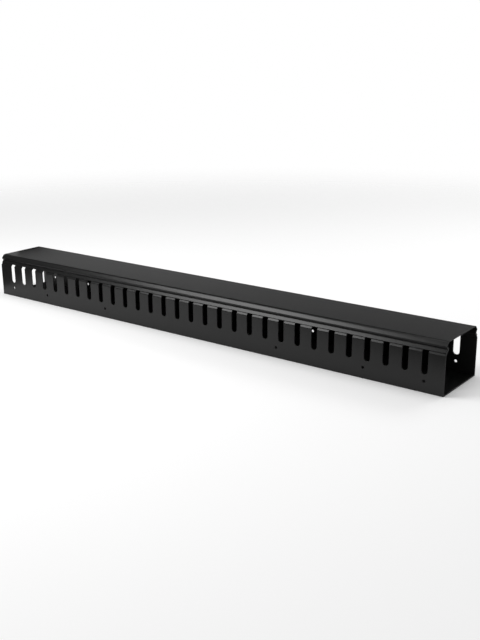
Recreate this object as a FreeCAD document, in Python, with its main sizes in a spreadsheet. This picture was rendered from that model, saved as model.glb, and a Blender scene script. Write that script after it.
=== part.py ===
import FreeCAD, Part
import math
import os
import Sketcher

# Vertical cable manager of the finger-duct kind, in rigid plastic, lying on its back.
# Two pieces: a duct whose side walls end in rows of fingers, and a cover that snaps over
# the fingers' tips. Its skirts reach down outside the fingers and close the slots' upper
# ends. Both ends of the duct are open.
#
# Frame, in millimetres: X runs along the duct, Y across it and Z up, away from the face
# that lies against the rack. The origin is the middle of that back face.

document = FreeCAD.newDocument("vertical_cable_manager")

# The sizes that drive the model
DIMENSIONS = [
    ("duct_length", 914.4, "overall length, three feet"),
    ("duct_width", 103.2, "outside of one side wall to outside of the other"),
    ("duct_height", 76.3, "back face to the top of the closed cover"),
    ("wall_thickness", 1.8, "thickness of both pieces, everywhere"),
    ("bend_radius", 1.5, "rounding outside each bend"),
    ("floor_radius", 0.8, "rounding inside the duct's two bottom corners"),
    ("finger_lean", 40.0, "lean of the fingers and of the cover's skirts from upright, degrees"),
    ("finger_reach", 7.5, "side wall's face to the groove across the fingers"),
    ("tip_lean", 34.0, "lean of the fingers' tips, back out again, from upright, degrees"),
    ("tip_length", 4.0, "groove of a finger to its tip"),
    ("slot_pitch", 29.38, "middle of one slot to the middle of the next"),
    ("slot_margin", 25.0, "least distance from the duct's end to the middle of a slot"),
    ("slot_shift", 1.5, "middle of the length to the middle of the row, as the duct was cut"),
    ("slot_width", 10.0, "width of a slot, and diameter of its round foot"),
    ("slot_foot", 26.2, "back face to the lower end of a slot"),
    ("side_hole_diameter", 4.5, "small fixing holes under the slots"),
    ("side_hole_height", 16.3, "back face to the middle of those holes"),
    ("side_hole_inner", 182.2, "middle of the slot row to the inner pair of holes"),
    ("side_hole_outer", 331.9, "middle of the slot row to the next pair of holes"),
    ("back_hole_diameter", 7.0, "mounting holes in the back, for a 6 mm screw, and slot width"),
    ("back_slot_length", 14.0, "end to end of the mounting slots near each end"),
    ("back_slot_inset", 50.8, "duct's end to the middle of the mounting slots, 2 inches"),
    ("back_row_spacing", 50.8, "two rows of mounting holes, 2 inches apart"),
    ("snap_clearance", 0.2, "gap between the cover and the fingers inside it"),
    ("skirt_length", 6.8, "bottom of the cover's groove to its lower edge"),
    ("brow_inset", 2.2, "side wall's face to the cover's widest line, above the groove"),
    ("crown_height", 5.6, "that widest line to the top of the closed cover"),
    ("crown_lean", 40.0, "lean of the cover's shoulder from upright, degrees"),
    ("crown_radius", 5.0, "rounding where the cover's shoulder meets its flat top"),
    ("groove_radius", 0.4, "rounding inside the cover's sharp bends"),
]

sheet = document.addObject("Spreadsheet::Sheet", "sizes")
for row, (alias, value, meaning) in enumerate(DIMENSIONS, start=1):
    sheet.set(f"A{row}", alias)
    sheet.set(f"B{row}", str(value))
    sheet.set(f"C{row}", meaning)
    sheet.setAlias(f"B{row}", alias)
document.recompute()

# What several steps share, as formulas on those sizes
HALF_WIDTH = "sizes.duct_width / 2"
FINGER_LEAN = "(sizes.finger_lean * 1 deg)"
TIP_LEAN = "(sizes.tip_lean * 1 deg)"
SLOT_COUNT = "(floor((sizes.duct_length - 2 * sizes.slot_margin) / sizes.slot_pitch) + 1)"
END_SLOT = f"({SLOT_COUNT} - 1) / 2 * sizes.slot_pitch"

# Heights follow from the top of the closed cover down: its widest line, the bottom of its
# groove, the bottom of the fingers' groove inside it, and the bend where the fingers start
COVER_OUTSIDE = "(sizes.snap_clearance + sizes.wall_thickness)"
SPREAD = f"(sin({FINGER_LEAN}) + sin({TIP_LEAN})) / sin({FINGER_LEAN} + {TIP_LEAN})"
RISE = f"(cos({TIP_LEAN}) - cos({FINGER_LEAN})) / sin({FINGER_LEAN} + {TIP_LEAN})"
BROW_DEPTH = f"(sizes.finger_reach - {COVER_OUTSIDE} * {SPREAD} - sizes.brow_inset)"
GROOVE_HEIGHT = (f"(sizes.duct_height - sizes.crown_height - {BROW_DEPTH} / tan({TIP_LEAN})"
                 f" - {COVER_OUTSIDE} * {RISE})")
WALL_HEIGHT = f"{GROOVE_HEIGHT} - sizes.finger_reach / tan({FINGER_LEAN})"
BACK_SLOT = "(sizes.duct_length / 2 - sizes.back_slot_inset)"

# Sketcher's own numbers for a line's ends and for the origin and axes
START, END, CENTRE = range(1, 4)
X_AXIS, Y_AXIS = -1, -2
ORIGIN = (X_AXIS, START)


def size(alias):
    """The value of one driving size."""
    return float(sheet.get(alias))


def new_body(label):
    body = document.addObject("PartDesign::Body", label)
    body.Label = label
    body.Placement = FreeCAD.Placement()
    return body


def new_sketch(body, name, plane_role):
    """A sketch on one of the body's own origin planes."""
    sketch = body.newObject("Sketcher::SketchObject", name)
    planes = {feature.Role: feature for feature in body.Origin.OriginFeatures}
    sketch.AttachmentSupport = [(planes[plane_role], "")]
    sketch.MapMode = "FlatFace"
    return sketch


def dimension(sketch, name, kind, where, value, formula):
    """A sketch dimension that follows the sheet."""
    index = sketch.addConstraint(Sketcher.Constraint(kind, *where, value))
    sketch.renameConstraint(index, name)
    sketch.setExpression(f"Constraints.{name}", formula)


def relate(sketch, kind, *where):
    """A geometric constraint, which has no size."""
    sketch.addConstraint(Sketcher.Constraint(kind, *where))


def bent_outline(sketch, outside, inside):
    """Draw the end view of a bent wall, symmetric about the upright axis.

    outside and inside list the right-hand corners from the flat web out to the free edge.
    Line number k starts at the k-th corner of the ring: out along the outside, across the
    free edge, back along the inside, and round the mirrored left half.
    """
    right = outside + inside[::-1]
    left = [(-across, up) for across, up in right[::-1]]
    ring = [FreeCAD.Vector(across, up, 0) for across, up in right + left]
    count = len(ring)
    for k in range(count):
        sketch.addGeometry(Part.LineSegment(ring[k], ring[(k + 1) % count]), False)
    for k in range(count):
        relate(sketch, "Coincident", k, END, (k + 1) % count, START)
    for k in range(count // 2):
        relate(sketch, "Symmetric", k, START, count - 1 - k, START, Y_AXIS)


def bend_edges(shape, sketch, corners):
    """Names of the edges along X that stand on the given corners of the outline, both sides."""
    places = [sketch.Geometry[k].StartPoint for k in corners]
    names = []
    for number, edge in enumerate(shape.Edges, start=1):
        ends = [vertex.Point for vertex in edge.Vertexes]
        if len(ends) != 2 or abs(ends[0].x - ends[1].x) < size("duct_length") / 2:
            continue
        for place in places:
            if all(math.hypot(abs(end.y) - place.x, end.z - place.y) < 1e-4 for end in ends):
                names.append(f"Edge{number}")
    return names


def round_bends(body, base, sketch, name, corners, radius):
    """Round the bends on the given corners of the outline, on both sides of the piece."""
    document.recompute()
    fillet = body.newObject("PartDesign::Fillet", name)
    fillet.Base = (base, bend_edges(base.Shape, sketch, corners))
    fillet.setExpression("Radius", radius)
    base.Visibility = False
    return fillet


def extrude_along_duct(body, sketch, name):
    pad = body.newObject("PartDesign::Pad", name)
    pad.Profile = sketch
    pad.SideType = "Symmetric"
    pad.setExpression("Length", "sizes.duct_length")
    return pad


def cut_both_walls(body, sketch, name):
    """A cut from the middle plane out through both side walls."""
    pocket = body.newObject("PartDesign::Pocket", name)
    pocket.Profile = sketch
    pocket.Type = "ThroughAll"
    pocket.SideType = "Symmetric"
    return pocket


def long_hole(sketch, name, low, high, y, radius):
    """A round-ended hole along X, from one end's centre to the other's. Each size is a pair
    of (value, formula)."""
    first = sketch.GeometryCount
    reach = FreeCAD.Vector(0, radius[0], 0)
    left = FreeCAD.Vector(low[0], y[0], 0)
    right = FreeCAD.Vector(high[0], y[0], 0)
    normal = FreeCAD.Vector(0, 0, 1)
    quarter = math.pi / 2
    sketch.addGeometry([
        Part.LineSegment(left - reach, right - reach),
        Part.ArcOfCircle(Part.Circle(right, normal, radius[0]), -quarter, quarter),
        Part.LineSegment(right + reach, left + reach),
        Part.ArcOfCircle(Part.Circle(left, normal, radius[0]), quarter, 3 * quarter),
    ], False)
    side_1, right_end, side_2, left_end = range(first, first + 4)
    relate(sketch, "Tangent", side_1, END, right_end, START)
    relate(sketch, "Tangent", right_end, END, side_2, START)
    relate(sketch, "Tangent", side_2, END, left_end, START)
    relate(sketch, "Tangent", left_end, END, side_1, START)
    relate(sketch, "Equal", right_end, left_end)
    relate(sketch, "Horizontal", side_1)
    dimension(sketch, f"{name}_radius", "Radius", (left_end,), *radius)
    dimension(sketch, f"{name}_x", "DistanceX", (*ORIGIN, left_end, CENTRE), *low)
    dimension(sketch, f"{name}_y", "DistanceY", (*ORIGIN, left_end, CENTRE), *y)
    dimension(sketch, f"{name}_end", "DistanceX", (*ORIGIN, right_end, CENTRE), *high)


def round_hole(sketch, name, across, up, radius):
    """A circle in the sketch; each size is a pair of (value, formula)."""
    centre = FreeCAD.Vector(across[0], up[0], 0)
    circle = sketch.addGeometry(Part.Circle(centre, FreeCAD.Vector(0, 0, 1), radius[0]), False)
    dimension(sketch, f"{name}_radius", "Radius", (circle,), *radius)
    dimension(sketch, f"{name}_x", "DistanceX", (*ORIGIN, circle, CENTRE), *across)
    dimension(sketch, f"{name}_y", "DistanceY", (*ORIGIN, circle, CENTRE), *up)


# The sections of both pieces, in numbers for the first drawing
lean = math.radians(size("finger_lean"))
tip_lean = math.radians(size("tip_lean"))
crown_lean = math.radians(size("crown_lean"))
thickness = size("wall_thickness")
half_width = size("duct_width") / 2
cover_outside = size("snap_clearance") + thickness
spread = (math.sin(lean) + math.sin(tip_lean)) / math.sin(lean + tip_lean)
rise = (math.cos(tip_lean) - math.cos(lean)) / math.sin(lean + tip_lean)
brow_depth = size("finger_reach") - cover_outside * spread - size("brow_inset")
groove = (half_width - size("finger_reach"),
          size("duct_height") - size("crown_height") - brow_depth / math.tan(tip_lean)
          - cover_outside * rise)
wall_height = groove[1] - size("finger_reach") / math.tan(lean)
slot_radius = size("slot_width") / 2
slot_gaps = math.floor((size("duct_length") - 2 * size("slot_margin")) / size("slot_pitch"))
end_slot = slot_gaps / 2 * size("slot_pitch")

# Unit steps in the end view: up and in along a finger, up and out along its tip, and up and
# in along the cover's shoulder, each with the step square to it that points out of the duct
ALONG_FINGER = (-math.sin(lean), math.cos(lean))
OFF_FINGER = (math.cos(lean), math.sin(lean))
ALONG_TIP = (math.sin(tip_lean), math.cos(tip_lean))
OFF_TIP = (math.cos(tip_lean), -math.sin(tip_lean))
ALONG_CROWN = (-math.sin(crown_lean), math.cos(crown_lean))
OFF_CROWN = (math.cos(crown_lean), math.sin(crown_lean))


def step(start, direction, distance):
    """The point at a distance from start."""
    return (start[0] + distance * direction[0], start[1] + distance * direction[1])


def meet(point_1, direction_1, point_2, direction_2):
    """Where two lines cross, each given by a point on it and its direction."""
    across = point_2[0] - point_1[0]
    up = point_2[1] - point_1[1]
    turn = direction_1[0] * direction_2[1] - direction_1[1] * direction_2[0]
    return step(point_1, direction_1, (across * direction_2[1] - up * direction_2[0]) / turn)


def groove_bottom(distance):
    """The bottom of the groove on a face at a distance outside the fingers' outer face."""
    return meet(step(groove, OFF_FINGER, distance), ALONG_FINGER,
                step(groove, OFF_TIP, distance), ALONG_TIP)


def open_slot(sketch):
    """The first slot, from its round foot up past the fingers' tips."""
    x = size("slot_shift") - end_slot
    foot = size("slot_foot") + slot_radius
    head = size("duct_height")
    left, right = x - slot_radius, x + slot_radius
    circle = Part.Circle(FreeCAD.Vector(x, foot, 0), FreeCAD.Vector(0, 0, 1), slot_radius)
    corners = [FreeCAD.Vector(*place, 0)
               for place in ((left, foot), (right, foot), (right, head), (left, head))]
    sketch.addGeometry([
        Part.ArcOfCircle(circle, math.pi, 2 * math.pi),
        Part.LineSegment(corners[1], corners[2]),
        Part.LineSegment(corners[2], corners[3]),
        Part.LineSegment(corners[3], corners[0]),
    ], False)
    arc, right_side, top, left_side = range(4)
    relate(sketch, "Tangent", arc, END, right_side, START)
    relate(sketch, "Coincident", right_side, END, top, START)
    relate(sketch, "Coincident", top, END, left_side, START)
    relate(sketch, "Tangent", left_side, END, arc, START)
    relate(sketch, "Vertical", right_side)
    relate(sketch, "Vertical", left_side)
    relate(sketch, "Horizontal", top)
    dimension(sketch, "slot_radius", "Radius", (arc,), slot_radius, "sizes.slot_width / 2")
    dimension(sketch, "slot_place", "DistanceX", (arc, CENTRE, *ORIGIN),
              -x, f"{END_SLOT} - sizes.slot_shift")
    dimension(sketch, "slot_foot", "DistanceY", (*ORIGIN, arc, CENTRE),
              foot, "sizes.slot_foot + sizes.slot_width / 2")
    dimension(sketch, "slot_head", "DistanceY", (*ORIGIN, right_side, END),
              head, "sizes.duct_height")


def make_duct():
    """The duct: back, two side walls with fingers, and the groove across the fingers."""
    body = new_body("base_channel")
    section = new_sketch(body, "duct_section", "YZ_Plane")
    tip = step(groove, ALONG_TIP, size("tip_length"))
    outside = [
        (half_width, 0),
        (half_width, wall_height),
        groove,
        tip,
    ]
    inside = [
        (half_width - thickness, thickness),
        (half_width - thickness, wall_height - thickness * math.tan(lean / 2)),
        groove_bottom(-thickness),
        step(tip, OFF_TIP, -thickness),
    ]
    bent_outline(section, outside, inside)
    (wall, finger, finger_tip, edge,
     tip_inside, finger_inside, wall_inside, floor_inside) = range(8)
    back = 15

    relate(section, "PointOnObject", wall, START, X_AXIS)
    relate(section, "Vertical", wall)
    dimension(section, "duct_width", "DistanceX", (back, START, wall, START),
              2 * half_width, "sizes.duct_width")
    dimension(section, "wall_height", "DistanceY", (wall, START, wall, END),
              wall_height, WALL_HEIGHT)
    dimension(section, "finger_reach", "DistanceX", (finger, END, finger, START),
              size("finger_reach"), "sizes.finger_reach")
    dimension(section, "finger_lean", "Angle", (Y_AXIS, finger), lean, FINGER_LEAN)
    dimension(section, "tip_lean", "Angle", (finger_tip, Y_AXIS), tip_lean, TIP_LEAN)
    dimension(section, "tip_length", "Distance", (finger_tip, START, finger_tip, END),
              size("tip_length"), "sizes.tip_length")
    relate(section, "Perpendicular", edge, finger_tip)
    relate(section, "Parallel", tip_inside, finger_tip)
    relate(section, "Parallel", finger_inside, finger)
    relate(section, "Vertical", wall_inside)
    dimension(section, "tip_thickness", "Distance", (edge, START, edge, END),
              thickness, "sizes.wall_thickness")
    dimension(section, "finger_thickness", "Distance", (finger_inside, START, finger),
              thickness, "sizes.wall_thickness")
    dimension(section, "wall_thickness", "DistanceX", (floor_inside, START, wall, START),
              thickness, "sizes.wall_thickness")
    dimension(section, "back_thickness", "DistanceY", (wall, START, floor_inside, START),
              thickness, "sizes.wall_thickness")

    solid = extrude_along_duct(body, section, "duct_walls")
    floor = round_bends(body, solid, section, "inside_of_floor_corners",
                        (floor_inside,), "sizes.floor_radius")
    bends = round_bends(body, floor, section, "outside_of_bends",
                        (wall, finger, finger_inside), "sizes.bend_radius")

    first_slot = new_sketch(body, "first_slot", "XZ_Plane")
    open_slot(first_slot)
    slot = cut_both_walls(body, first_slot, "slot")

    slots = body.newObject("PartDesign::LinearPattern", "slots")
    slots.Originals = [slot]
    slots.Direction = (first_slot, ["H_Axis"])
    slots.Mode = "Spacing"
    slots.setExpression("Offset", "sizes.slot_pitch")
    slots.setExpression("Occurrences", SLOT_COUNT)
    body.Tip = slots

    side_holes = new_sketch(body, "side_hole_places", "XZ_Plane")
    offsets = [
        ("end", end_slot, END_SLOT),
        ("outer", size("side_hole_outer"), "sizes.side_hole_outer"),
        ("inner", size("side_hole_inner"), "sizes.side_hole_inner"),
    ]
    hole_radius = (size("side_hole_diameter") / 2, "sizes.side_hole_diameter / 2")
    hole_height = (size("side_hole_height"), "sizes.side_hole_height")
    for name, offset, formula in offsets:
        for side, sign in (("left", -1), ("right", 1)):
            place = (size("slot_shift") + sign * offset,
                     f"sizes.slot_shift + {sign} * ({formula})")
            round_hole(side_holes, f"{name}_{side}", place, hole_height, hole_radius)
    holes = cut_both_walls(body, side_holes, "side_holes")

    back_holes = new_sketch(body, "back_hole_places", "XY_Plane")
    radius = (size("back_hole_diameter") / 2, "sizes.back_hole_diameter / 2")
    reach = (size("back_slot_length") - size("back_hole_diameter")) / 2
    reach_formula = "(sizes.back_slot_length - sizes.back_hole_diameter) / 2"
    spacing = size("duct_length") / 2 - size("back_slot_inset")
    for row, across in (("near", -1), ("far", 1)):
        y = (across * size("back_row_spacing") / 2, f"{across} * sizes.back_row_spacing / 2")
        round_hole(back_holes, f"middle_{row}", (0, "0"), y, radius)
        for side, along in (("left", -1), ("right", 1)):
            low = (along * spacing - reach, f"{along} * {BACK_SLOT} - {reach_formula}")
            high = (along * spacing + reach, f"{along} * {BACK_SLOT} + {reach_formula}")
            long_hole(back_holes, f"{side}_{row}", low, high, y, radius)
    mounting = body.newObject("PartDesign::Pocket", "back_holes")
    mounting.Profile = back_holes
    mounting.Type = "ThroughAll"
    mounting.Reversed = True
    return body, (solid, floor, bends, slot, slots, holes, mounting)


def make_cover():
    """The cover: flat top, a leaning shoulder each side, and skirts outside the fingers."""
    body = new_body("cover")
    section = new_sketch(body, "cover_section", "YZ_Plane")
    clearance = size("snap_clearance")
    top = size("duct_height")
    valley = groove_bottom(cover_outside)
    valley_inside = groove_bottom(clearance)
    lower_edge = step(valley, ALONG_FINGER, -size("skirt_length"))
    brow = meet(valley, ALONG_TIP, (half_width - size("brow_inset"), 0), (0, 1))
    brow_inside = meet(valley_inside, ALONG_TIP, step(brow, OFF_CROWN, -thickness), ALONG_CROWN)
    outside = [
        meet(brow, ALONG_CROWN, (0, top), (1, 0)),
        brow,
        valley,
        lower_edge,
    ]
    inside = [
        meet(brow_inside, ALONG_CROWN, (0, top - thickness), (1, 0)),
        brow_inside,
        valley_inside,
        step(lower_edge, OFF_FINGER, -thickness),
    ]
    bent_outline(section, outside, inside)
    (crown, upper_groove, skirt, edge,
     skirt_inside, upper_groove_inside, crown_inside, underside) = range(8)

    # The outer faces of a finger and its tip, which the cover follows, as guides
    start = FreeCAD.Vector(half_width, wall_height, 0)
    bottom = FreeCAD.Vector(*groove, 0)
    end = FreeCAD.Vector(*step(groove, ALONG_TIP, size("tip_length")), 0)
    finger = section.addGeometry(Part.LineSegment(start, bottom), True)
    finger_tip = section.addGeometry(Part.LineSegment(bottom, end), True)
    relate(section, "Coincident", finger, END, finger_tip, START)
    dimension(section, "finger_across", "DistanceX", (*ORIGIN, finger, START),
              half_width, HALF_WIDTH)
    dimension(section, "finger_height", "DistanceY", (*ORIGIN, finger, START),
              wall_height, WALL_HEIGHT)
    dimension(section, "groove_across", "DistanceX", (*ORIGIN, finger, END),
              groove[0], f"{HALF_WIDTH} - sizes.finger_reach")
    dimension(section, "groove_height", "DistanceY", (*ORIGIN, finger, END),
              groove[1], GROOVE_HEIGHT)
    dimension(section, "tip_lean", "Angle", (finger_tip, Y_AXIS), tip_lean, TIP_LEAN)
    dimension(section, "tip_length", "Distance", (finger_tip, START, finger_tip, END),
              size("tip_length"), "sizes.tip_length")

    relate(section, "Parallel", skirt, finger)
    relate(section, "Parallel", skirt_inside, finger)
    relate(section, "Parallel", upper_groove, finger_tip)
    relate(section, "Parallel", upper_groove_inside, finger_tip)
    relate(section, "Parallel", crown_inside, crown)
    relate(section, "Perpendicular", edge, skirt)
    dimension(section, "finger_clearance", "Distance", (skirt_inside, END, finger),
              clearance, "sizes.snap_clearance")
    dimension(section, "tip_clearance", "Distance", (skirt_inside, END, finger_tip),
              clearance, "sizes.snap_clearance")
    dimension(section, "skirt_thickness", "Distance", (skirt, START, skirt_inside),
              thickness, "sizes.wall_thickness")
    dimension(section, "groove_thickness", "Distance", (skirt, START, upper_groove_inside),
              thickness, "sizes.wall_thickness")
    dimension(section, "crown_thickness", "Distance", (upper_groove, START, crown_inside),
              thickness, "sizes.wall_thickness")
    dimension(section, "top_thickness", "DistanceY", (underside, START, crown, START),
              thickness, "sizes.wall_thickness")
    dimension(section, "skirt_length", "Distance", (skirt, START, skirt, END),
              size("skirt_length"), "sizes.skirt_length")
    dimension(section, "cover_half_width", "DistanceX", (*ORIGIN, upper_groove, START),
              brow[0], f"{HALF_WIDTH} - sizes.brow_inset")
    dimension(section, "crown_lean", "Angle", (crown, Y_AXIS), math.pi - crown_lean,
              "180 deg - sizes.crown_lean * 1 deg")
    dimension(section, "duct_height", "DistanceY", (*ORIGIN, crown, START),
              top, "sizes.duct_height")

    solid = extrude_along_duct(body, section, "cover_walls")
    steps = [solid]
    for name, corners, radius in (
            ("outside_of_bends", (upper_groove, upper_groove_inside), "sizes.bend_radius"),
            ("inside_of_bends", (skirt, crown_inside), "sizes.groove_radius"),
            ("outside_of_crown", (crown,), "sizes.crown_radius"),
            ("inside_of_crown", (underside,), "sizes.crown_radius - sizes.wall_thickness")):
        steps.append(round_bends(body, steps[-1], section, name, corners, radius))
    return body, steps


def check_document():
    """Stop if any object failed to compute."""
    document.recompute()
    for item in document.Objects:
        if "Invalid" in item.State or "Error" in item.State:
            raise RuntimeError(f"{item.Label} failed: {item.State}")


def check_piece(body, steps):
    """Stop if the piece isn't one sound solid, or if a step of it changed nothing."""
    shape = body.Shape
    if shape.isNull() or not shape.isValid() or len(shape.Solids) != 1:
        raise RuntimeError(f"{body.Label} isn't one valid solid")
    volumes = [feature.Shape.Volume for feature in steps]
    for feature, before, after in zip(steps[1:], volumes, volumes[1:]):
        if abs(after - before) < 1.0:
            raise RuntimeError(f"{feature.Label} changes nothing")
    box = shape.BoundBox
    print(f"{body.Label}: {shape.Volume / 1000:.1f} cm3, "
          f"{box.XLength:.1f} x {box.YLength:.1f} x {box.ZLength:.1f} mm, "
          f"z {box.ZMin:.2f} to {box.ZMax:.2f}, {len(shape.Faces)} faces")


pieces = [make_duct(), make_cover()]
check_document()
os.makedirs("parts", exist_ok=True)
for body, steps in pieces:
    check_piece(body, steps)
    body.Shape.exportStep(f"parts/{body.Label}.step")
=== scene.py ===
# %% [markdown]
# # A black plastic finger duct with its cover on
# A vertical cable manager guides cables down the side of a server rack. This one is a
# length of finger duct: a plastic channel whose side walls end in rows of fingers, and a
# cover pressed over the fingers. This notebook starts from a finished CAD model, which says
# how big everything is, and rebuilds both pieces with the small roundings, the plastic and
# the studio light that make them look real.
#
# Everything is in metres, in the CAD model's frame: X runs along the duct, Y across it and Z
# up, out of its back. The duct lies on its back on the floor, at Z = 0.

# %% Load the CAD model
import math

import bpy
from mathutils import Matrix, Vector


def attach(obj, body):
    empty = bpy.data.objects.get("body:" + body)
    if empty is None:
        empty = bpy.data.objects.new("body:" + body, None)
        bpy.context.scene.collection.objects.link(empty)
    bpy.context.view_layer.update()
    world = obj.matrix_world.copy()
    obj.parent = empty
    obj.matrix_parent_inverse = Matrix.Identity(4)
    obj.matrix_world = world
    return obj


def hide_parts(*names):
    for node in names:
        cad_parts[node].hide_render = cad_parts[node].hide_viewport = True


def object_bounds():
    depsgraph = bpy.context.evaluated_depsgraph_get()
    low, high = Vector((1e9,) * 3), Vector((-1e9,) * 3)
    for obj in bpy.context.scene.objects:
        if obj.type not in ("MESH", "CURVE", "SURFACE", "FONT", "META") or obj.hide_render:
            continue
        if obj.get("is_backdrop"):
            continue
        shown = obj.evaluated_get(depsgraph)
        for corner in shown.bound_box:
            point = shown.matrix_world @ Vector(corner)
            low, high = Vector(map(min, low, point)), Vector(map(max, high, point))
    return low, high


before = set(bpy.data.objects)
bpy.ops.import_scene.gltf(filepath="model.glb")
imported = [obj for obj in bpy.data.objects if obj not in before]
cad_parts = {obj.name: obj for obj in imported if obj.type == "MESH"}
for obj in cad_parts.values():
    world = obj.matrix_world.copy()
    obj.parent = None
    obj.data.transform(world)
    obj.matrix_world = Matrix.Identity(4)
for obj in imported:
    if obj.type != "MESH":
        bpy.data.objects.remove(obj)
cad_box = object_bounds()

MM = 0.001


def print_box(what, box):
    """The lowest and the highest corner of a box, in metres."""
    print(what, "box:", *[tuple(round(v, 4) for v in corner) for corner in box])


print_box("CAD model's", cad_box)

# %% [markdown]
# ## Small helpers
# Every node tree below, for shapes and for materials, is built by one function. It adds a
# node and fills its inputs: what comes from another node is plugged in, and everything else
# is a constant. Colours are written as sRGB hex codes, the way a colour picker shows them,
# but Blender's sockets take linear light, so one more function converts them.

# %% One function to add a node


def add_node(tree, kind, *inputs, **settings):
    """A new node. Each input is (name, what it gets): another node, for its first output,
    one of a node's outputs, or a constant. The settings are the node's own options."""
    node = tree.nodes.new(kind)
    for name, setting in settings.items():
        setattr(node, name, setting)
    for name, part in inputs:
        source = part.outputs[0] if isinstance(part, bpy.types.Node) else part
        if isinstance(source, bpy.types.NodeSocket):
            tree.links.new(source, node.inputs[name])
        else:
            node.inputs[name].default_value = source
    return node


# %% One function for colours


def linear_colour(hex_code):
    """An sRGB hex colour as the linear red, green, blue and alpha that sockets take."""
    channels = [int(hex_code[i:i + 2], 16) / 255 for i in (1, 3, 5)]
    return [c / 12.92 if c <= 0.04045 else ((c + 0.055) / 1.055) ** 2.4
            for c in channels] + [1.0]


print(f"#808080 looks half bright, but is only {linear_colour('#808080')[0]:.2f} of the light")

# %% [markdown]
# ## The sizes
# The duct's wall stands straight up to the bend. There each finger leans in to the groove,
# and its tip leans back out. The cover follows that shape from outside: its skirt lies on
# the finger, its own groove on the finger's groove, and above that a brow, a sloping
# shoulder and the flat top.
#
# All sizes are in millimetres. The outside, the slots and the holes are the CAD model's. The
# cover's wall is a little thinner than in the solids and its groove about a millimetre
# lower, because that brings each light and dark line to where the real one shows it.

# %% Length and section
LENGTH, HALF_WIDTH, HEIGHT = 914.4, 51.6, 76.3
THICKNESS, COVER_THICKNESS = 1.8, 1.2
FINGER_LEAN, TIP_LEAN, SHOULDER_LEAN = (math.radians(angle) for angle in (40.0, 34.0, 40.0))
FINGER_REACH, TIP_LENGTH = 6.8, 4.0
CLEARANCE = 0.2
SKIRT_LENGTH = 5.6
BROW_INSET, CROWN_HEIGHT = 2.2, 6.6
print(f"the section is {2 * HALF_WIDTH} mm wide and {HEIGHT} mm high")

# %% [markdown]
# ## Working out the heights
# The groove's height isn't written down. It follows from the top of the cover down: the brow
# is given, a line leans in from it, and the groove is where that line is deep enough. Worked
# out this way, the cover and the fingers still fit each other when a size changes.

# %% Points and directions in the end view


def step(start, direction, distance):
    """The point at a distance from start, in the end view (across, up)."""
    return (start[0] + distance * direction[0], start[1] + distance * direction[1])


def meet(point_1, direction_1, point_2, direction_2):
    """Where two lines cross, each given by a point on it and its direction."""
    across, up = point_2[0] - point_1[0], point_2[1] - point_1[1]
    turn = direction_1[0] * direction_2[1] - direction_1[1] * direction_2[0]
    return step(point_1, direction_1, (across * direction_2[1] - up * direction_2[0]) / turn)


ACROSS, UPRIGHT = (1.0, 0.0), (0.0, 1.0)
ALONG_FINGER = (-math.sin(FINGER_LEAN), math.cos(FINGER_LEAN))
OFF_FINGER = (math.cos(FINGER_LEAN), math.sin(FINGER_LEAN))
ALONG_TIP = (math.sin(TIP_LEAN), math.cos(TIP_LEAN))
OFF_TIP = (math.cos(TIP_LEAN), -math.sin(TIP_LEAN))
ALONG_SHOULDER = (-math.sin(SHOULDER_LEAN), math.cos(SHOULDER_LEAN))
OFF_SHOULDER = (math.cos(SHOULDER_LEAN), math.sin(SHOULDER_LEAN))

# %% The groove
brow = (HALF_WIDTH - BROW_INSET, HEIGHT - CROWN_HEIGHT)


def groove_at(distance):
    """The groove's bottom on the face at a distance outside the fingers."""
    on_cover = step(brow, OFF_TIP, distance - CLEARANCE - COVER_THICKNESS)
    # How far the bottom moves across for each millimetre off the two leaning faces
    spread = (math.sin(FINGER_LEAN) + math.sin(TIP_LEAN)) / math.sin(FINGER_LEAN + TIP_LEAN)
    bottom = HALF_WIDTH - FINGER_REACH + distance * spread
    return meet(on_cover, ALONG_TIP, (bottom, 0.0), UPRIGHT)


groove = groove_at(0.0)
wall_height = groove[1] - FINGER_REACH / math.tan(FINGER_LEAN)
print(f"fingers start {wall_height:.2f} mm up and their groove is {groove[1]:.2f} mm up")

# %% [markdown]
# ## The end view of each piece
# Both pieces have the same shape all along, like anything pushed through a die, so each
# starts as an outline of its end. It could be drawn as a curve by hand, but a list of
# corners with a rounding for each is easier to read and to change. The functions below turn
# every rounding into a few short lines, and mirror the right half to the left.

# %% Rounded outline
DEGREES_PER_STEP = 11.0


def rounded(corner, before, after, radius):
    """The points of one rounded corner of an outline."""
    corner, before, after = Vector(corner), Vector(before), Vector(after)
    if radius == 0:
        return [corner]
    arrive, leave = (corner - before).normalized(), (after - corner).normalized()
    turn = arrive.angle_signed(leave)
    steps = max(2, round(abs(math.degrees(turn)) / DEGREES_PER_STEP))
    start = corner - arrive * radius * math.tan(abs(turn) / 2)
    side = Vector((arrive.y, -arrive.x)) * math.copysign(1.0, turn)
    centre = start + side * radius
    points = []
    for k in range(steps + 1):
        angle = abs(turn) * k / steps
        points.append(centre - side * radius * math.cos(angle)
                      + arrive * radius * math.sin(angle))
    return points


def outline(right_half):
    """The closed outline of an end view from its right half: (across, up, radius)."""
    ring = right_half + [(-across, up, radius) for across, up, radius in right_half[::-1]]
    points = []
    for k, (across, up, radius) in enumerate(ring):
        before, after = ring[k - 1][:2], ring[(k + 1) % len(ring)][:2]
        points += rounded((across, up), before, after, radius)
    return points


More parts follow.
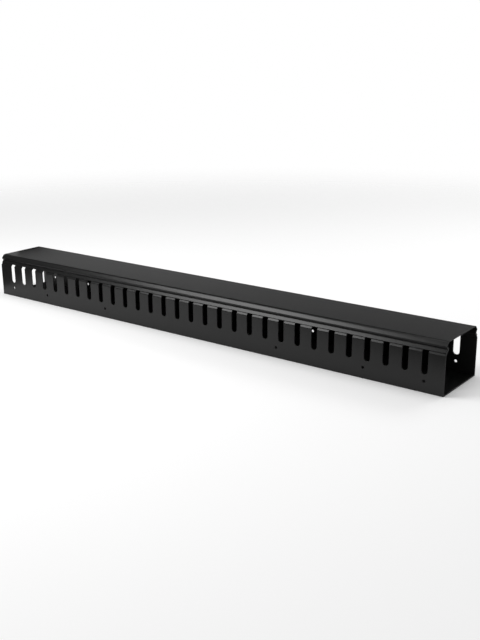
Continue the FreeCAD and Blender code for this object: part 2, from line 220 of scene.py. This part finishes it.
# %% The duct's end view
# Roundings: an edge that is only not sharp, a bend, and the floor's corners
CRISP, BEND, FLOOR_INSIDE, FLOOR_OUTSIDE = 0.35, 1.5, 0.8, 0.6
inner_wall = HALF_WIDTH - THICKNESS
tip = step(groove, ALONG_TIP, TIP_LENGTH)
duct_outline = outline([
    (HALF_WIDTH, 0.0, FLOOR_OUTSIDE),
    (HALF_WIDTH, wall_height, BEND),
    (*groove, CRISP),
    (*tip, 0.0),
    (*step(tip, OFF_TIP, -THICKNESS), 0.0),
    (*groove_at(-THICKNESS), BEND),
    (inner_wall, wall_height - THICKNESS * math.tan(FINGER_LEAN / 2), CRISP),
    (inner_wall, THICKNESS, FLOOR_INSIDE),
])
print(len(duct_outline), "points round the duct's end")

# %% The cover's end view
CROWN_RADIUS, LIP = 6.0, 0.3
valley, valley_inside = groove_at(CLEARANCE + COVER_THICKNESS), groove_at(CLEARANCE)
lower_edge = step(valley, ALONG_FINGER, -SKIRT_LENGTH)
inside_shoulder = step(brow, OFF_SHOULDER, -COVER_THICKNESS)
cover_outline = outline([
    (*meet(brow, ALONG_SHOULDER, (0.0, HEIGHT), ACROSS), CROWN_RADIUS),
    (*brow, BEND),
    (*valley, CRISP),
    (*lower_edge, LIP),
    (*step(lower_edge, OFF_FINGER, -COVER_THICKNESS), 0.0),
    (*valley_inside, BEND),
    (*meet(valley_inside, ALONG_TIP, inside_shoulder, ALONG_SHOULDER), CRISP),
    (*meet(inside_shoulder, ALONG_SHOULDER, (0.0, HEIGHT - COVER_THICKNESS), ACROSS),
     CROWN_RADIUS - COVER_THICKNESS),
])
print(len(cover_outline), "points round the cover's end")

# %% [markdown]
# ## Sweeping an end view along the duct
# A real duct is extruded: hot plastic is pushed through a die, cooled and sawn to length.
# Extruding a face by hand would do, but Geometry Nodes can follow the real process. Mesh to
# Curve reads the outline as a closed curve, and Curve to Mesh runs it along a straight line
# and closes both ends. The length is a named input, so one tree serves both pieces.

# %% How a tree starts and ends


def new_shape_tree(name, inputs):
    """A tree with a geometry input and output, and named inputs (name, socket kind)."""
    tree = bpy.data.node_groups.new(name, "GeometryNodeTree")
    for direction in ("INPUT", "OUTPUT"):
        tree.interface.new_socket(name="Geometry", in_out=direction,
                                  socket_type="NodeSocketGeometry")
    for label, kind in inputs:
        tree.interface.new_socket(name=label, in_out="INPUT", socket_type=kind)
    return tree, add_node(tree, "NodeGroupInput").outputs


def finish_tree(tree, shape, material):
    """Realize Instances, Set Material and the output, where every tree here ends."""
    real = add_node(tree, "GeometryNodeRealizeInstances", ("Geometry", shape))
    dressed = add_node(tree, "GeometryNodeSetMaterial", ("Geometry", real),
                       ("Material", material))
    add_node(tree, "NodeGroupOutput", ("Geometry", dressed))


# %% The extruding tree


def make_extruding_tree():
    """The end view swept along a line that has its middle at the origin."""
    tree, given = new_shape_tree("extrude_and_saw", [("Length", "NodeSocketFloat"),
                                                     ("Material", "NodeSocketMaterial")])
    start, end = (add_node(tree, "ShaderNodeVectorMath", (0, (half, 0.0, 0.0)),
                           ("Scale", given["Length"]), operation="SCALE")
                  for half in (-0.5, 0.5))
    line = add_node(tree, "GeometryNodeCurvePrimitiveLine", ("Start", start), ("End", end))
    die = add_node(tree, "GeometryNodeMeshToCurve", ("Mesh", given["Geometry"]))
    length = add_node(tree, "GeometryNodeCurveToMesh", ("Curve", line),
                      ("Profile Curve", die), ("Fill Caps", True))
    finish_tree(tree, length, given["Material"])
    return tree


extruding_tree = make_extruding_tree()
print("extruding tree:", len(extruding_tree.nodes), "nodes")

# %% [markdown]
# ## Punching the slots
# On the real duct the slots are punched through both walls at once, one stroke after
# another. They could be cut one by one with Boolean modifiers, but a row of equal slots is a
# rule, so the tree makes one punch and stands a copy of it on each point of a row. The punch
# is the convex hull of a round bar, for the slot's foot, and a small box above the fingers'
# tips. Between them it takes everything away, so the slots are open at the top.

# %% Shapes for punches
ROUND_SIDES, SMALL_SIDES = 48, 24
ACROSS_DUCT, UPWARDS = (math.radians(90), 0.0, 0.0), (0.0, 0.0, 0.0)


def round_bar(tree, diameter, length, sides, turn):
    """A round bar through the origin, turned from upright by the given angles."""
    radius = add_node(tree, "ShaderNodeMath", (0, diameter), (1, 0.5), operation="MULTIPLY")
    bar = add_node(tree, "GeometryNodeMeshCylinder", ("Vertices", sides),
                   ("Radius", radius), ("Depth", length))
    return add_node(tree, "GeometryNodeTransform", ("Geometry", bar), ("Rotation", turn))


def hull(tree, *shapes):
    """The tightest skin round some shapes."""
    together = add_node(tree, "GeometryNodeJoinGeometry", *[(0, shape) for shape in shapes])
    return add_node(tree, "GeometryNodeConvexHull", ("Geometry", together))


def stand_on(tree, points, shape):
    """A copy of the shape on each point, as real geometry."""
    copies = add_node(tree, "GeometryNodeInstanceOnPoints", ("Points", points),
                      ("Instance", shape))
    return add_node(tree, "GeometryNodeRealizeInstances", ("Geometry", copies))


# %% A slot's punch, sizes in millimetres
SLOT_WIDTH, SLOT_FOOT = 10.0, 26.2
# Longer than the duct is wide, so that a punch goes through both walls
THROUGH = 2.4 * HALF_WIDTH
HEAD_SIZE = 2.0


def slot_punch(tree, given):
    """A punch from a slot's round foot to above the duct."""
    width = given["Slot width"]
    radius = add_node(tree, "ShaderNodeMath", (0, width), (1, 0.5), operation="MULTIPLY")
    height = add_node(tree, "ShaderNodeMath", (0, given["Slot foot"]), (1, radius),
                      operation="ADD")
    centre = add_node(tree, "ShaderNodeCombineXYZ", ("Z", height))
    bar = round_bar(tree, width, THROUGH * MM, ROUND_SIDES, ACROSS_DUCT)
    foot = add_node(tree, "GeometryNodeTransform", ("Geometry", bar), ("Translation", centre))
    size = add_node(tree, "ShaderNodeCombineXYZ", ("X", width), ("Y", THROUGH * MM),
                    ("Z", HEAD_SIZE * MM))
    box = add_node(tree, "GeometryNodeMeshCube", ("Size", size))
    head = add_node(tree, "GeometryNodeTransform", ("Geometry", box),
                    ("Translation", (0.0, 0.0, (HEIGHT + HEAD_SIZE) * MM)))
    return hull(tree, foot, head)


print(f"a slot is {SLOT_WIDTH} mm wide and starts {SLOT_FOOT} mm up")

# %% The row of slots, sizes in millimetres
SLOTS, SLOT_PITCH, SLOT_SHIFT = 30, 29.38, 1.5


def row_of_slot_punches(tree, given):
    """A punch for every slot, in a row with its middle at the slot shift."""
    gaps = add_node(tree, "ShaderNodeMath", (0, given["Slots"]), (1, 1.0),
                    operation="SUBTRACT")
    row_length = add_node(tree, "ShaderNodeMath", (0, gaps), (1, given["Pitch"]),
                          operation="MULTIPLY")
    first = add_node(tree, "ShaderNodeMath", (0, row_length), (1, -0.5),
                     (2, given["Slot shift"]), operation="MULTIPLY_ADD")
    start = add_node(tree, "ShaderNodeCombineXYZ", ("X", first))
    to_next = add_node(tree, "ShaderNodeCombineXYZ", ("X", given["Pitch"]))
    points = add_node(tree, "GeometryNodeMeshLine", ("Count", given["Slots"]),
                      ("Start Location", start), ("Offset", to_next))
    return stand_on(tree, points, slot_punch(tree, given))


print(f"{SLOTS} slots, one every {SLOT_PITCH} mm")

# %% [markdown]
# ## Drilling the screw holes
# Each wall has three pairs of small holes below the slots, and the back has two round holes
# in its middle and four long ones near its ends, so that the duct can be shifted before its
# screws are tightened. They are bars too. The holes in the walls go through both walls, as
# a long drill would make them.

# %% The screw holes, sizes in millimetres
SIDE_HOLE, SIDE_HOLE_HEIGHT = 4.5, 16.3
SIDE_HOLE_PLACES = (182.2, 331.9, (SLOTS - 1) / 2 * SLOT_PITCH)
BACK_HOLE, BACK_SLOT, BACK_INSET, BACK_ROWS = 7.0, 14.0, 50.8, 50.8
BACK_DRILL = 4 * THICKNESS


def side_hole_punches(tree, given):
    """Drills for the pairs of holes in the walls, about the middle of the row of slots."""
    bar = round_bar(tree, given["Side hole"], THROUGH * MM, SMALL_SIDES, ACROSS_DUCT)
    pairs = []
    for offset in SIDE_HOLE_PLACES:
        first = add_node(tree, "ShaderNodeMath", (0, given["Slot shift"]), (1, offset * MM),
                         operation="SUBTRACT")
        start = add_node(tree, "ShaderNodeCombineXYZ", ("X", first),
                         ("Z", SIDE_HOLE_HEIGHT * MM))
        pair = add_node(tree, "GeometryNodeMeshLine", ("Count", 2),
                        ("Start Location", start), ("Offset", (2 * offset * MM, 0.0, 0.0)))
        pairs.append(stand_on(tree, pair, bar))
    return pairs


def back_hole_punches(tree, given):
    """Drills for the back: a long hole near each corner, and two round ones in the middle."""
    bar = round_bar(tree, given["Back hole"], BACK_DRILL * MM, SMALL_SIDES, UPWARDS)
    reach = (BACK_SLOT - BACK_HOLE) / 2 * MM
    long_bar = hull(tree, *[add_node(tree, "GeometryNodeTransform", ("Geometry", bar),
                                     ("Translation", (end, 0.0, 0.0)))
                            for end in (reach, -reach)])
    corners = add_node(tree, "GeometryNodeMeshGrid",
                       ("Size X", (LENGTH - 2 * BACK_INSET) * MM), ("Size Y", BACK_ROWS * MM),
                       ("Vertices X", 2), ("Vertices Y", 2))
    middle = add_node(tree, "GeometryNodeMeshLine", ("Count", 2),
                      ("Start Location", (0.0, -BACK_ROWS / 2 * MM, 0.0)),
                      ("Offset", (0.0, BACK_ROWS * MM, 0.0)))
    return [stand_on(tree, corners, long_bar), stand_on(tree, middle, bar)]


print(2 * len(SIDE_HOLE_PLACES), "holes in each wall")

# %% The punching tree


def make_punching_tree():
    """All punches, taken away from the swept duct in one go."""
    sizes = ("Pitch", "Slot shift", "Slot width", "Slot foot", "Side hole", "Back hole")
    tree, given = new_shape_tree("punch_slots_and_holes", [
        ("Slots", "NodeSocketInt"), *[(size, "NodeSocketFloat") for size in sizes],
        ("Material", "NodeSocketMaterial")])
    punches = [row_of_slot_punches(tree, given), *side_hole_punches(tree, given),
               *back_hole_punches(tree, given)]
    punched = add_node(tree, "GeometryNodeMeshBoolean", ("Mesh 1", given["Geometry"]),
                       *[("Mesh 2", punch) for punch in punches],
                       operation="DIFFERENCE", solver="EXACT")
    finish_tree(tree, punched, given["Material"])
    return tree


punching_tree = make_punching_tree()
print("punching tree:", len(punching_tree.nodes), "nodes")

# %% [markdown]
# ## The plastic
# Finger duct is rigid PVC, coloured black right through and extruded. The die leaves the
# outside satin, with very faint lines along the length. Where a saw or a punch has cut it,
# the face is rougher and a touch greyer. Two materials could be given out face by face, but
# nearly every cut face looks along the duct, and no other face does, so one material tells
# them by their direction.

# %% A material's empty tree


def new_material(name):
    """A material with an empty node tree, and that tree."""
    material = bpy.data.materials.new(name)
    material.use_nodes = True
    material.node_tree.nodes.clear()
    return material, material.node_tree


# %% Black rigid PVC
DIE_COLOUR, CUT_COLOUR = "#161616", "#191919"
DIE_ROUGHNESS, CUT_ROUGHNESS = 0.31, 0.7
# PVC's IOR is about 1.5. A satin skin mirrors less than polished PVC: a lower specular level
PVC_IOR, PVC_GLOSS = 1.5, 0.34
# Die lines to the metre: 4 along the duct, and about one to the millimetre across it
DIE_LINES = (4.0, 900.0, 900.0)
# The satin skin's grains in millimetres, drawn coarser than they are so that they show
GRAIN = 0.4
# How high lines and grains stand in millimetres, and how strongly the bump takes them
RELIEF_HEIGHT, RELIEF_STRENGTH = 0.04, 0.25
# How squarely a face looks along the duct: below the first not cut, above the second cut
CUT_FROM, CUT_TO = 0.75, 0.95


def make_plastic():
    """Black PVC: satin with faint die lines, and rougher and greyer where it is cut."""
    material, tree = new_material("black_rigid_pvc")
    where = add_node(tree, "ShaderNodeTexCoord").outputs
    along = add_node(tree, "ShaderNodeMapping", ("Vector", where["Object"]),
                     ("Scale", DIE_LINES))
    die_lines = add_node(tree, "ShaderNodeTexNoise", ("Vector", along),
                         ("Scale", 1.0), ("Detail", 2.0))
    grain = add_node(tree, "ShaderNodeTexNoise", ("Vector", where["Object"]),
                     ("Scale", 1 / (GRAIN * MM)), ("Detail", 1.0))
    relief = add_node(tree, "ShaderNodeMath", (0, die_lines.outputs["Fac"]),
                      (1, grain.outputs["Fac"]), operation="ADD")
    bump = add_node(tree, "ShaderNodeBump", ("Height", relief),
                    ("Strength", RELIEF_STRENGTH), ("Distance", RELIEF_HEIGHT * MM))
    facing = add_node(tree, "ShaderNodeSeparateXYZ", ("Vector", where["Normal"]))
    along_duct = add_node(tree, "ShaderNodeMath", (0, facing.outputs["X"]),
                          operation="ABSOLUTE")
    cut = add_node(tree, "ShaderNodeMapRange", ("Value", along_duct),
                   ("From Min", CUT_FROM), ("From Max", CUT_TO))
    # A Mix node set to colours takes them at its sockets 6 and 7 and gives one at 2
    colour = add_node(tree, "ShaderNodeMix", ("Factor", cut),
                      (6, linear_colour(DIE_COLOUR)), (7, linear_colour(CUT_COLOUR)),
                      data_type="RGBA")
    rough = add_node(tree, "ShaderNodeMapRange", ("Value", cut),
                     ("To Min", DIE_ROUGHNESS), ("To Max", CUT_ROUGHNESS))
    shader = add_node(tree, "ShaderNodeBsdfPrincipled", ("Base Color", colour.outputs[2]),
                      ("Roughness", rough), ("Normal", bump),
                      ("IOR", PVC_IOR), ("Specular IOR Level", PVC_GLOSS))
    add_node(tree, "ShaderNodeOutputMaterial", ("Surface", shader))
    return material


black_pvc = make_plastic()
print("plastic:", black_pvc.name, "with", len(black_pvc.node_tree.nodes), "nodes")

# %% [markdown]
# ## Making the two pieces
# Each outline becomes an object, and the trees become modifiers on it. A narrow bevel then
# takes the sharpness off every sawn and punched edge, which catches the light as a real edge
# does, and weighted normals keep the flat faces flat beside it. The finished shape is read
# off as a plain mesh, because a mesh is all that an export can carry.

# %% From an outline to a finished piece
EDGE_ROUNDING, EDGE_STEPS = 0.22, 2
SHARP_ANGLE = math.radians(48)
NORMAL_WEIGHT = 80


def object_from_outline(name, points):
    """The outline as a closed loop of edges, drawn the way Curve to Mesh turns it."""
    mesh = bpy.data.meshes.new(name)
    loop = [(-point.x * MM, -point.y * MM, 0.0) for point in points]
    mesh.from_pydata(loop, [(k, (k + 1) % len(loop)) for k in range(len(loop))], [])
    piece = bpy.data.objects.new(name, mesh)
    bpy.context.scene.collection.objects.link(piece)
    return piece


def add_tree(piece, tree, **inputs):
    """The tree as a modifier, with its named inputs set by their identifiers."""
    modifier = piece.modifiers.new(tree.name, "NODES")
    modifier.node_group = tree
    for socket in tree.interface.items_tree:
        label = socket.name.replace(" ", "_")
        if label in inputs:
            modifier[socket.identifier] = inputs[label]


def finished(piece):
    """The piece with its modifiers taken in, as a plain mesh."""
    bevel = piece.modifiers.new("edge_rounding", "BEVEL")
    bevel.width, bevel.segments = EDGE_ROUNDING * MM, EDGE_STEPS
    bevel.limit_method, bevel.angle_limit = "ANGLE", SHARP_ANGLE
    normals = piece.modifiers.new("flat_faces_stay_flat", "WEIGHTED_NORMAL")
    normals.mode, normals.weight = "FACE_AREA", NORMAL_WEIGHT
    evaluated = piece.evaluated_get(bpy.context.evaluated_depsgraph_get())
    mesh = bpy.data.meshes.new_from_object(evaluated)
    piece.modifiers.clear()
    piece.data = mesh
    print(piece.name, len(mesh.polygons), "faces,",
          sum(len(p.vertices) - 2 for p in mesh.polygons), "triangles")


# %% The duct
duct = object_from_outline("finger_duct", duct_outline)
add_tree(duct, extruding_tree, Length=LENGTH * MM, Material=black_pvc)
add_tree(duct, punching_tree, Slots=SLOTS, Pitch=SLOT_PITCH * MM, Slot_shift=SLOT_SHIFT * MM,
         Slot_width=SLOT_WIDTH * MM, Slot_foot=SLOT_FOOT * MM, Side_hole=SIDE_HOLE * MM,
         Back_hole=BACK_HOLE * MM, Material=black_pvc)
finished(duct)
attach(duct, "channel")
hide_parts("base_channel")

# %% The cover
cover = object_from_outline("press_fit_cover", cover_outline)
add_tree(cover, extruding_tree, Length=LENGTH * MM, Material=black_pvc)
finished(cover)
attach(cover, "cover")
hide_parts("cover")

# %% [markdown]
# ## The studio
# The duct lies on white paper that fades into a white background, as in a catalogue picture.
# Light Path tells the rays apart: those that see the background directly, from the camera,
# from gloss or through a transparent thing, find it white, and all others find a soft grey
# that fills the shadows. The paper is real to every ray, so it keeps the duct's shadow.

# %% Things of the set


def add_to_set(name, corners, faces, material):
    """A piece of the studio, which isn't part of the object."""
    mesh = bpy.data.meshes.new(name)
    mesh.from_pydata(corners, [], faces)
    mesh.materials.append(material)
    thing = bpy.data.objects.new(name, mesh)
    bpy.context.scene.collection.objects.link(thing)
    thing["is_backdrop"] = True
    return thing


# %% The paper floor, in metres
FLOOR_REACH, FLOOR_DROP = 3.0, 0.0003
FADE_START, FADE_END = 0.7, 2.2
PAPER_COLOUR = "#fbfbfb"


def make_paper():
    """Pale paper that turns transparent with distance from the middle."""
    material, tree = new_material("pale_paper")
    where = add_node(tree, "ShaderNodeTexCoord").outputs["Object"]
    distance = add_node(tree, "ShaderNodeVectorMath", (0, where), operation="LENGTH")
    fade = add_node(tree, "ShaderNodeMapRange", ("Value", distance.outputs["Value"]),
                    ("From Min", FADE_START), ("From Max", FADE_END),
                    interpolation_type="SMOOTHSTEP")
    paper = add_node(tree, "ShaderNodeBsdfDiffuse", ("Color", linear_colour(PAPER_COLOUR)))
    clear = add_node(tree, "ShaderNodeBsdfTransparent")
    mix = add_node(tree, "ShaderNodeMixShader", (0, fade), (1, paper), (2, clear))
    add_node(tree, "ShaderNodeOutputMaterial", ("Surface", mix))
    return material


add_to_set("studio_floor", [(x * FLOOR_REACH, y * FLOOR_REACH, -FLOOR_DROP)
                            for x, y in ((-1, -1), (1, -1), (1, 1), (-1, 1))],
           [(0, 1, 2, 3)], make_paper())
print(f"paper floor fades out from {FADE_START} to {FADE_END} m")

# %% The background
FILL, WHITE = 0.45, "#ffffff"


def make_world():
    """White to rays that see it directly, and a soft grey fill to all others."""
    world = bpy.data.worlds.new("white_studio")
    world.use_nodes = True
    tree = world.node_tree
    tree.nodes.clear()
    ray = add_node(tree, "ShaderNodeLightPath").outputs
    seen = ray["Is Camera Ray"]
    for kind in ("Is Glossy Ray", "Is Transmission Ray"):
        seen = add_node(tree, "ShaderNodeMath", (0, seen), (1, ray[kind]),
                        operation="MAXIMUM")
    fill, white = (add_node(tree, "ShaderNodeBackground", ("Color", linear_colour(WHITE)),
                            ("Strength", strength)) for strength in (FILL, 1.0))
    mix = add_node(tree, "ShaderNodeMixShader", (0, seen), (1, fill), (2, white))
    add_node(tree, "ShaderNodeOutputWorld", ("Surface", mix))
    bpy.context.scene.world = world


make_world()
print("background fill:", FILL)

# %% [markdown]
# ## Black cloth and black cards: painted reflections
# Black plastic is seen mostly by what it mirrors, and in an all white room it looks grey. So
# a photographer hangs black cloth round the set, with a low gap under it that still shows
# the white background, and stands black cards past the far end of a long part and low in
# front of it. Here the cloth and cards are not real things. They are dark grey emitters that
# only glossy rays see, so they paint darker reflections onto the duct. They are out of the
# picture, throw no shadow and light nothing. The upright walls then mirror the paper close
# in front of them, the cover mirrors the gap, and the sloping faces mirror the key light.
# The cards paint darker reflections at the left end and low along the front wall.

# %% Cloth and card that only gloss can see, for painted reflections
# Painted reflection: the dark grey that glossy rays find on the cloth and cards, standing in
# for dark surroundings
PAINTED_REFLECTION_COLOUR = "#3c3c3c"


def make_painted_reflection():
    """Painted reflection: a dark grey emitter that looks the same whatever light falls on it.
    """
    material, tree = new_material("black_cloth")
    cloth = add_node(tree, "ShaderNodeEmission", ("Color", linear_colour(PAINTED_REFLECTION_COLOUR)))
    add_node(tree, "ShaderNodeOutputMaterial", ("Surface", cloth))
    return material


black_cloth = make_painted_reflection()


def hang_painted_reflection(name, corners, faces):
    """A cloth or card that only glossy rays see, painting a dark reflection on the duct."""
    flag = add_to_set(name, corners, faces, black_cloth)
    flag.visible_camera = flag.visible_diffuse = flag.visible_transmission = False
    flag.visible_shadow = False


# %% The cloth, which paints dark reflections, is a cone round and over the set, in metres
CLOTH_RADIUS, CLOTH_FOOT, CLOTH_RISE, CLOTH_SIDES = 5.0, 1.0, 5.0, 32

around = [2 * math.pi * k / CLOTH_SIDES for k in range(CLOTH_SIDES)]
hang_painted_reflection("black_cloth",
           [(CLOTH_RADIUS * math.cos(angle), CLOTH_RADIUS * math.sin(angle), CLOTH_FOOT)
            for angle in around] + [(0.0, 0.0, CLOTH_FOOT + CLOTH_RISE)],
           [(k, (k + 1) % CLOTH_SIDES, CLOTH_SIDES) for k in range(CLOTH_SIDES)])
print(f"cloth hangs down to {CLOTH_FOOT} m above the floor")

# %% The cards, which paint dark reflections: name, start and end on the floor, and height, in metres
# The cover slides out through the gap between the two on the left
PAINTED_REFLECTION_CARDS = [("left_near", (-0.50, -0.45), (-0.50, -0.06), 0.30),
         ("left_far", (-0.545, 0.06), (-0.545, 0.45), 0.10),
         ("front", (-0.53, -0.36), (0.60, -0.12), 0.12)]
for side, start, end, height in PAINTED_REFLECTION_CARDS:
    hang_painted_reflection("black_card_" + side,
               [(*start, 0.0), (*end, 0.0), (*end, height), (*start, height)],
               [(0, 1, 2, 3)])
print(len(PAINTED_REFLECTION_CARDS), "black cards")

# %% [markdown]
# ## The lamps
# A long softbox at the front left is the key light. It draws the bright lines along the
# shoulders, the skirts and the fingers. A large softbox overhead lights the paper, and a weak
# one behind keeps the back of the duct readable from there. Each is turned to face its aim.
# Three lamps are enough: together they show a colour about as bright as it is written.

# %% Softboxes: name, place, aim, width and height in metres, and power in watts
SOFTBOXES = [
    ("key_softbox", (-0.66, -0.66, 1.13), (0.1, -0.045, 0.068), 0.80, 0.45, 9.3),
    ("top_softbox", (0.1, 0.4, 3.6), (0.0, 0.0, 0.0), 2.4, 2.4, 38.0),
    ("back_softbox", (0.55, 1.25, 1.0), (0.0, 0.0, 0.04), 0.8, 0.45, 4.5),
]
for name, where, aim, width, height, power in SOFTBOXES:
    lamp = bpy.data.lights.new(name, "AREA")
    lamp.shape, lamp.size, lamp.size_y, lamp.energy = "RECTANGLE", width, height, power
    softbox = bpy.data.objects.new(name, lamp)
    softbox.location = where
    softbox.rotation_mode = "QUATERNION"
    softbox.rotation_quaternion = (Vector(aim) - Vector(where)).to_track_quat("-Z", "Y")
    bpy.context.scene.collection.objects.link(softbox)
    print(f"{name}: {width} by {height} m, {power} W")

# %% [markdown]
# ## The camera
# The camera stands where the photograph was taken from. Its place, aim and lens were worked
# out from the row of slots, whose spacing is known. A matrix sets its place and turn at
# once: its columns are the directions right, up and back, and then the place.

# %% Camera: the photo and the focal length in pixels, the sensor in millimetres
PHOTO_HEIGHT_PX, FOCAL_PX, SENSOR = 640.0, 899.3, 36.0
AZIMUTH, ELEVATION, ROLL = (math.radians(angle) for angle in (37.492, 16.833, -0.528))
VIEW_FROM = Vector((0.92394, -1.10491, 0.44937))
ahead = Vector((-math.sin(AZIMUTH) * math.cos(ELEVATION),
                math.cos(AZIMUTH) * math.cos(ELEVATION), -math.sin(ELEVATION)))
level = Vector((math.cos(AZIMUTH), math.sin(AZIMUTH), 0.0))
overhead = level.cross(ahead)
right = level * math.cos(ROLL) + overhead * math.sin(ROLL)
up = overhead * math.cos(ROLL) - level * math.sin(ROLL)
lens = bpy.data.cameras.new("photo_camera")
lens.sensor_width = SENSOR
lens.lens = FOCAL_PX * SENSOR / PHOTO_HEIGHT_PX
camera = bpy.data.objects.new("photo_camera", lens)
camera.matrix_world = (Matrix.Translation(VIEW_FROM)
                       @ Matrix((right, up, -ahead)).transposed().to_4x4())
bpy.context.scene.collection.objects.link(camera)
bpy.context.scene.camera = camera
bpy.context.scene.view_settings.view_transform = "Standard"
print(f"lens {lens.lens:.1f} mm")

# %% Check the size and finish
dressed_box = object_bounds()
print_box("finished model's", dressed_box)
